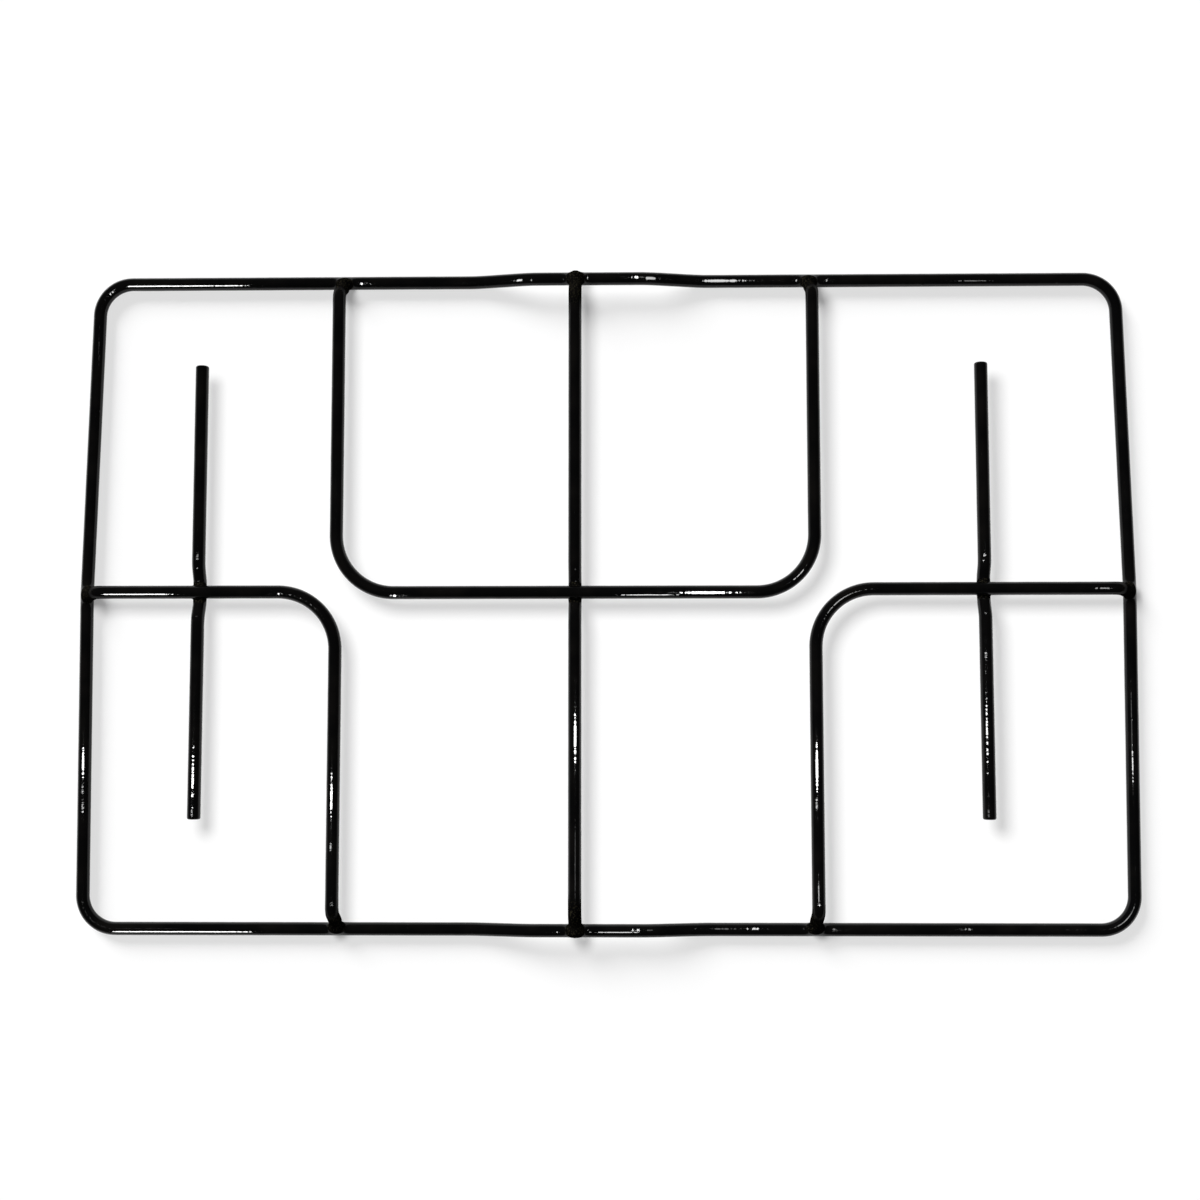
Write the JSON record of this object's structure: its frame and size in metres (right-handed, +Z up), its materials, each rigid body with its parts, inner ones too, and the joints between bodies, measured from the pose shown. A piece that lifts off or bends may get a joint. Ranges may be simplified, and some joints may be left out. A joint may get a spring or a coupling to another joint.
{
  "type": "hob pan support",
  "caption": "Gas hob pan support: a closed rectangle of enamelled round wire with raised, bent bars and free-ended fingers welded across it to hold pans over the burners.",
  "frame": {"origin": "middle of the underside of the outer frame, on the hob's face", "axes": "+X to the user's right along the long side, +Y to the rear, +Z up towards the pan"},
  "size_m": [0.445, 0.279, 0.02],
  "materials": {
    "enamel": "gloss black vitreous enamel on round steel wire"
  },
  "bodies": {
    "root": {"outer_frame": "enamel", "rear_u_bar": "enamel", "left_elbow_bar": "enamel", "right_elbow_bar": "enamel", "centre_bar": "enamel", "left_finger_bar": "enamel", "right_finger_bar": "enamel"}
  },
  "joints": []
}
